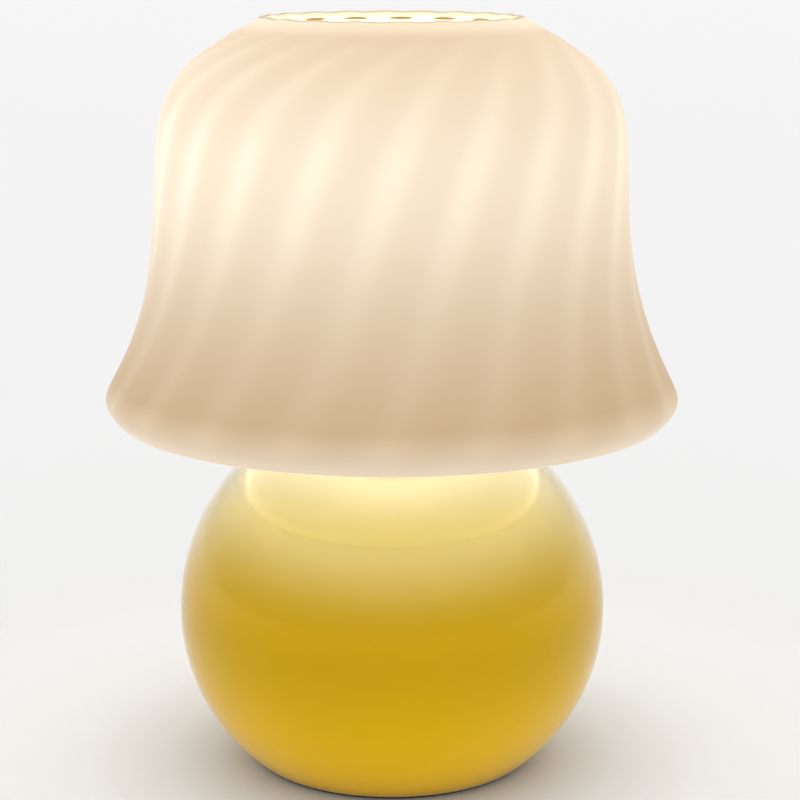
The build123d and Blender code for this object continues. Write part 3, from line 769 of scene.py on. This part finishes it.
# --- Bulb cap ------------------------------------------------------------------------------
# The standard screw cap of the bulb: a rolled aluminium shell with its thread, a black glass
# insulator below it and a tinned contact at the very bottom.
thread_low, thread_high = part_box("bulb_screw_cap")
thread_radius = 0.0131
thread_depth = 0.0005
thread_wall = 0.0007
thread_pitch, thread_turns = 0.0036, 5
thread_end = 0.0006
thread_inner = thread_radius - thread_depth - thread_wall
thread_top = thread_low.z + thread_pitch * thread_turns
shell_corners = [
    (thread_inner, thread_low.z, 0),
    (thread_radius, thread_low.z, 0.0004),
    (thread_radius, thread_top, 0.0004),
    (thread_radius - thread_depth, thread_top + thread_end, 0.0004),
    (thread_radius - thread_depth, thread_high.z, 0),
    (thread_inner, thread_high.z, 0),
]
radius, azimuth, height = turned(dense(rounded(shell_corners), thread_pitch / 16), columns=120)
radius = threaded(
    radius, azimuth, height,
    root=thread_radius - thread_depth / 2,
    depth=thread_depth,
    pitch=thread_pitch,
    bottom=thread_low.z,
    top=thread_top,
    steepness=0.5,
)
rolled_shell = piece_of("rolled_shell", patch(round_the_axis(radius, azimuth, height), ring=True))

bulb_aluminium = new_finish("bulb_aluminium")
drawn_marks = bulb_aluminium.noise(500.0, 3.0)
bulb_aluminium.surface({
    "Base Color": bulb_aluminium.mix(drawn_marks, (0.42, 0.42, 0.42), (0.56, 0.56, 0.55)),
    "Metallic": 1.0,
    "Roughness": 0.18 + drawn_marks * 0.18,
    "Normal": bulb_aluminium.bump(drawn_marks, 0.00002),
})
fit(rolled_shell, bulb_aluminium, "bulb", "bulb_aluminium", "bulb_screw_cap")

black_insulator = new_finish("black_insulator")
glass_flow = black_insulator.noise(350.0, 2.0)
black_insulator.surface({
    "Base Color": black_insulator.mix(glass_flow, (0.004, 0.004, 0.006), (0.02, 0.02, 0.024)),
    "Roughness": 0.08 + glass_flow * 0.1,
    "Normal": black_insulator.bump(glass_flow, 0.00008),
})
dress(black_insulator, "bulb_insulator")
dress(zinc_steel, "bulb_contact")

# --- Bulb collar and boards ----------------------------------------------------------------
# A white plastic collar joins the screw cap to the globe. It holds the driver board upright
# and the round aluminium light board with its eight yellow chips on its top ledge.
collar_low, collar_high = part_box("bulb_collar")
collar_bottom = thread_high.z
neck_radius, collar_radius = 0.014, 0.0172
spigot_radius = thread_inner - hairline
collar_wall, board_ledge, board_seat = 0.0015, 0.001, 0.0025
board_radius = collar_radius - collar_wall - board_ledge
collar_corners = [
    (spigot_radius - collar_wall, collar_low.z, 0),
    (spigot_radius, collar_low.z, 0.0002),
    (spigot_radius, collar_bottom, 0),
    (neck_radius, collar_bottom, 0.0006),
    (collar_radius, collar_high.z, 0.0003),
    (board_radius, collar_high.z, 0.0002),
    (board_radius, collar_high.z - board_seat, 0),
    (spigot_radius - collar_wall, collar_high.z - board_seat, 0),
]
moulded_collar = turned_piece("moulded_collar", rounded(collar_corners), columns=128)

bulb_plastic = new_finish("bulb_plastic")
collar_cloud = bulb_plastic.noise(80.0, 2.0)
bulb_plastic.surface({
    "Base Color": bulb_plastic.mix(collar_cloud, (0.40, 0.395, 0.38), (0.46, 0.455, 0.44)),
    "Roughness": 0.26 + collar_cloud * 0.14,
    "Normal": bulb_plastic.bump(bulb_plastic.noise(2600.0, 1.0), 0.00001),
})
fit(moulded_collar, bulb_plastic, "bulb", "bulb_plastic", "bulb_collar")

phosphor = new_finish("phosphor")
phosphor_grain = phosphor.noise(3500.0, 2.0)
phosphor.surface({
    "Base Color": phosphor.mix(phosphor_grain, (0.85, 0.62, 0.10), (0.92, 0.76, 0.22)),
    "Roughness": 0.45,
    "Normal": phosphor.bump(phosphor_grain, 0.00003),
})
green_board = new_finish("green_board")
_, _, board_height = green_board.axes()
copper_tracks = (board_height * 4200.0).sine().rise(0.55, 0.75)
green_board.surface({
    "Base Color": green_board.mix(copper_tracks, (0.010, 0.085, 0.022), (0.03, 0.19, 0.06)),
    "Roughness": 0.30,
    "Normal": green_board.bump(copper_tracks, 0.00003),
})
dress(bulb_aluminium, "light_board")
dress(phosphor, "light_chips")
dress(green_board, "driver_board")

# --- Bulb globe ----------------------------------------------------------------------------
# A small globe of opal plastic is pushed over the light board and glows warm white all over,
# a little less towards its neck, where the collar stands in the way of the chips.
globe_low, globe_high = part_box("bulb_globe")
globe_radius = (globe_high.x - globe_low.x) / 2
globe_centre = globe_high.z - globe_radius
globe_turn = np.linspace(math.asin((globe_low.z - globe_centre) / globe_radius), math.pi / 2, 48)
globe_line = globe_radius * np.stack([np.cos(globe_turn), np.sin(globe_turn)], axis=1) + (0, globe_centre)
globe_line[-1, 0] = 0
globe_profile = np.concatenate([[(0, globe_low.z)], globe_line])
opal_globe = turned_piece("opal_globe", globe_profile, columns=96, ring=False)

bulb_opal = new_finish("bulb_opal")
_, _, opal_height = bulb_opal.axes()
opal_cloud = bulb_opal.noise(120.0, 2.0)
neck_shadow_low, neck_shadow_high = globe_low.z - 0.004, globe_low.z + 0.016
past_neck = opal_height.rise(neck_shadow_low, neck_shadow_high)
opal_light = past_neck * (0.92 + opal_cloud * 0.12)
bulb_opal.surface({
    "Base Color": bulb_opal.mix(opal_cloud, (0.84, 0.80, 0.72), (0.90, 0.87, 0.80)),
    "Roughness": 0.3,
    "Emission Color": bulb_opal.mix(opal_light, (0.60, 0.50, 0.36), (1.0, 0.95, 0.84)),
    "Emission Strength": 36.0,
})
fit(opal_globe, bulb_opal, "bulb", "bulb_opal", "bulb_globe")

# --- Glass shade ---------------------------------------------------------------------------
# A bell of milky glass, blown into a ribbed mould and turned as it was drawn, so that its
# twenty ribs swirl. The outside is frosted; the lip and the rim are melted round and smooth.
rim_height = 0.1255
glass_wall = 0.003
shade_outline = (0, rim_height) + np.array([
    (0.0959, 0.0007),
    (0.0999, 0.0060),
    (0.0975, 0.0139),
    (0.0848, 0.0485),
    (0.0812, 0.0900),
    (0.0762, 0.1135),
    (0.0604, 0.1287),
    (0.0446, 0.1371),
])
rib_count = 20
rib_depth = 0.0008
first_groove = math.radians(-111.2)
rib_twist = math.radians(235)
lip_twist = math.radians(30)
lip_twist_height = 0.008
rib_fade_rim, rib_fade_lip = 0.012, 0.014
rim_bead, lip_bead, bead_reach = 0.00175, 0.0022, 0.004
lip_wave, lip_wave_reach = 0.0003, 0.003
lip_wave_start = math.radians(160)
wall_rows, wall_columns = 146, 400


def smooth_curve(points, shares):
    """Points on a smooth curve through points, at shares of its length measured along the chords.

    Between two points it is a cubic, and slope and bend match where two cubics meet. The bends
    follow from one equation for each inner point, with no bend at either end.
    """
    gaps = np.linalg.norm(np.diff(points, axis=0), axis=1)
    along = np.append(0, gaps.cumsum())
    slopes = np.diff(points, axis=0) / gaps[:, None]
    matrix = np.eye(len(points))
    right = np.zeros_like(points)
    inner = np.arange(1, len(points) - 1)
    matrix[inner, inner - 1] = gaps[:-1]
    matrix[inner, inner] = 2 * (gaps[:-1] + gaps[1:])
    matrix[inner, inner + 1] = gaps[1:]
    right[1:-1] = 6 * np.diff(slopes, axis=0)
    bends = np.linalg.solve(matrix, right)
    spots = shares * along[-1]
    span = np.clip(np.searchsorted(along, spots, side="right") - 1, 0, len(gaps) - 1)
    gap = gaps[span][:, None]
    after = (spots - along[span])[:, None]
    before = gap - after
    ends = points[span] * before / gap + points[span + 1] * after / gap
    sag = bends[span] * before * (before**2 - gap**2) + bends[span + 1] * after * (after**2 - gap**2)
    return ends + sag / (6 * gap)


# The wall stands to both sides of its middle line by half_wall, which is even but for a bead
# at the rim and one at the lip. Each bead dies away as exp(-(distance / bead_reach)²).
outside_line = smooth_curve(shade_outline, np.linspace(0, 1, wall_rows))
line_run = np.gradient(outside_line, axis=0)
line_run = line_run / np.linalg.norm(line_run, axis=1)[:, None]
line_out = np.stack([line_run[:, 1], -line_run[:, 0]], axis=1)
middle_line = outside_line - line_out * glass_wall / 2
from_rim = np.linalg.norm(outside_line - outside_line[0], axis=1)[:, None]
from_lip = np.linalg.norm(outside_line - outside_line[-1], axis=1)[:, None]
half_wall = (
    glass_wall / 2
    + (rim_bead - glass_wall / 2) * np.exp(-((from_rim / bead_reach) ** 2))
    + (lip_bead - glass_wall / 2) * np.exp(-((from_lip / bead_reach) ** 2))
)

# A half circle closes the wall at the lip, and another at the rim. The inner wall is smooth,
# so every second row of it is enough.
bead_turn = np.linspace(0, math.pi, 15)[1:-1, None]
lip_cap = middle_line[-1] + half_wall[-1] * (
    np.cos(bead_turn) * line_out[-1] + np.sin(bead_turn) * line_run[-1]
)
rim_cap = middle_line[0] - half_wall[0] * (
    np.cos(bead_turn) * line_out[0] + np.sin(bead_turn) * line_run[0]
)
inner_rows = np.arange(wall_rows - 1, -1, -2)
cap_count = len(lip_cap)
shade_profile = np.concatenate([
    middle_line + line_out * half_wall,
    lip_cap,
    (middle_line - line_out * half_wall)[inner_rows],
    rim_cap,
])
radius, azimuth, height = turned(shade_profile, wall_columns)

# on_outside is 1 on the outer wall and 0 on the inner one, with a smooth change at both caps.
on_outside = np.concatenate([
    np.ones(wall_rows),
    (1 + np.cos(bead_turn[:, 0])) / 2,
    np.zeros(len(inner_rows)),
    level_ease(4 * bead_turn[:, 0] / math.pi - 3),
])[:, None]

# A groove turns by rib_twist for each metre of height, and by lip_twist more up to the lip,
# which dies away below it. Its depth is 0.4 + 0.5 cos + 0.1 cos of twice the angle from the
# groove, and fades out towards the rim and the lip.
lip_height, edge_height = outside_line[-1, 1], outside_line[0, 1]
twist = first_groove + rib_twist * (height - edge_height)
twist = twist + lip_twist * np.exp((np.minimum(height, lip_height) - lip_height) / lip_twist_height)
phase = rib_count * (azimuth - twist)
groove = 0.4 + 0.5 * np.cos(phase) + 0.1 * np.cos(2 * phase)
groove = groove * (
    level_ease((height - edge_height) / rib_fade_rim) * level_ease((lip_height - height) / rib_fade_lip)
)
radius = radius - rib_depth * groove * on_outside

# The melted lip dips once for each rib, by a sine round the axis.
near_lip = np.exp(-((from_lip[:, 0] / lip_wave_reach) ** 2))
near_lip = np.concatenate([near_lip, np.ones(cap_count), near_lip[inner_rows], np.zeros(cap_count)])
dip = 0.5 + 0.5 * np.sin(rib_count * azimuth - lip_wave_start)
points = round_the_axis(radius, azimuth, height - lip_wave * dip * near_lip[:, None])
outside_grid = on_outside + 0 * azimuth
ribbed_bell = piece_of("ribbed_bell", patch(points, ring=True, groove=groove, outside=outside_grid))

bulb_middle, glow_above, glow_below = 0.220, 0.038, 0.060
# Painted light: glow_lean brightens the painted glow towards the left, as if more light fell from that
# side.
glow_lean = 1.2  # the share by which a metre to the left would brighten it
rim_band_low, rim_band_high = 0.125, 0.141
lip_band_low, lip_band_high = 0.2580, 0.2622
crest_low, crest_high = 0.26290, 0.26325
full_level = 1.25
dimmest_glow, fullest_glow = (0.038, 0.016, 0.0), (0.207, 0.186, 0.158)
no_glow = (0.0, 0.0, 0.0)
# Painted shade: the dark lenses just inside the lip, with their count, start, length and height.
dark_lens_count, dark_lens_start, dark_lens_length = 16, math.radians(144.8), 0.95
dark_lens_middle, dark_lens_half_height = 0.26082, 0.00062

frosted_glass = new_finish("frosted_glass")
glass_x, glass_y, glass_height = frosted_glass.axes()
round_glass = glass_x.maths("ARCTAN2", glass_y, glass_x)
on_outer_wall = frosted_glass.attribute("outside")
in_groove = frosted_glass.attribute("groove")
milkiness = frosted_glass.noise(26.0, 3.0)

# Painted light: the outer wall's glow is painted as a bell curve in height, exp(-spread²), which
# is wider below the bulb, and stands for the bulb's light coming through. The rim, the lip and
# the thinner glass of the grooves add painted glow to it.
above_bulb = glass_height - bulb_middle
spread = (
    above_bulb.maths("MAXIMUM", above_bulb, 0.0) / glow_above
    + above_bulb.maths("MINIMUM", above_bulb, 0.0) / glow_below
)
bulb_glow = (-(spread * spread)).exp() * (1 - glass_x * glow_lean)
rim_glow = (1 - glass_height.rise(rim_band_low, rim_band_high)) * 0.72
lip_glow = glass_height.rise(lip_band_low, lip_band_high) * 0.40
groove_glow = in_groove * (0.06 + bulb_glow**4 * 0.14)
level = bulb_glow * 0.93 + rim_glow + lip_glow + groove_glow + (milkiness - 0.5) * 0.05
outer_glow = frosted_glass.mix(level / full_level, dimmest_glow, fullest_glow)
# Painted light: the inner wall glows too, less just under the lip.
inner_glow = frosted_glass.mix(glass_height.rise(0.245, 0.256), (0.31, 0.31, 0.28), (0.10, 0.095, 0.05))
glow = frosted_glass.mix(on_outer_wall, inner_glow, outer_glow)
inner_body = frosted_glass.mix(glass_height.rise(0.250, 0.258), (0.58, 0.57, 0.54), (0.40, 0.35, 0.19))
glass_body = frosted_glass.mix(on_outer_wall, inner_body, (0.26, 0.20, 0.12))

# The crest of the lip is painted as a darker line that follows its waves, and glows nothing:
# painted shade. Just inside it lie sixteen dark lenses of painted shade, which glow nothing,
# where 1 - place² - drop² is above 0.
lip_dip = (round_glass * rib_count - lip_wave_start).sine() * 0.5 + 0.5
painted_crest_shade = (glass_height + lip_dip * lip_wave).rise(crest_low, crest_high)
dark_lens_place = (round_glass * (dark_lens_count / 2) - dark_lens_start).sine() / dark_lens_length
dark_lens_drop = (glass_height - dark_lens_middle) / dark_lens_half_height
inside_lip = (1 - on_outer_wall).rise(0.4, 0.6)
painted_lip_shade = (1 - dark_lens_place * dark_lens_place - dark_lens_drop * dark_lens_drop).rise(0.0, 0.5) * inside_lip
glass_body = frosted_glass.mix(painted_crest_shade, glass_body, (0.34, 0.26, 0.15))
glow = frosted_glass.mix(painted_crest_shade, glow, no_glow)
frosted_glass.surface({
    "Base Color": frosted_glass.mix(painted_lip_shade, glass_body, (0.080, 0.044, 0.010)),
    "Roughness": 0.42 + milkiness * 0.1,
    "Specular IOR Level": 0.25,
    "Emission Color": frosted_glass.mix(painted_lip_shade, glow, no_glow),
    "Emission Strength": 4.0,
    "Normal": frosted_glass.bump(frosted_glass.noise(1400.0, 2.0), 0.00002),
})
fit(ribbed_bell, frosted_glass, "shade", "frosted_glass", "glass_shade")

# --- Stage ---------------------------------------------------------------------------------
# A plain pale floor under a soft white dome of light, which is brightest overhead and a little
# brighter behind the lamp than in front of it. The camera sees an even, near-white backdrop.
floor_size = 30.0
floor_corners = [(x * floor_size, y * floor_size, 0) for x, y in ((-1, -1), (1, -1), (1, 1), (-1, 1))]
floor_mesh = bpy.data.meshes.new("floor")
floor_mesh.from_pydata(floor_corners, [], [(0, 1, 2, 3)])
floor = bpy.data.objects.new("floor", floor_mesh)
bpy.context.scene.collection.objects.link(floor)
pale_floor = new_finish("pale_floor")
pale_floor.surface({"Base Color": (0.45, 0.45, 0.45), "Roughness": 0.8})
floor_mesh.materials.append(pale_floor.owner)

low_light, top_light, backdrop = (0.3, 0.3, 0.3), (2.1, 2.1, 2.1), (0.91, 0.91, 0.91)
world = bpy.data.worlds.new("soft_studio")
bpy.context.scene.world = world
studio = Finish(world)
sky_direction = studio.node("TexCoord", output="Generated")
backward, upward = [studio.node("SeparateXYZ", None, {0: sky_direction}, axis) for axis in (1, 2)]
overhead = upward.rise(0.05, 0.65)
sky_level = overhead + backward.rise(0.0, 0.7) * (1 - overhead) * 0.3
dome = studio.mix(sky_level, low_light, top_light)
seen = studio.node("LightPath", output="Is Camera Ray")
background = studio.node("Background", None, {"Color": studio.mix(seen, dome, backdrop)})
studio.node("OutputWorld", None, {"Surface": background})
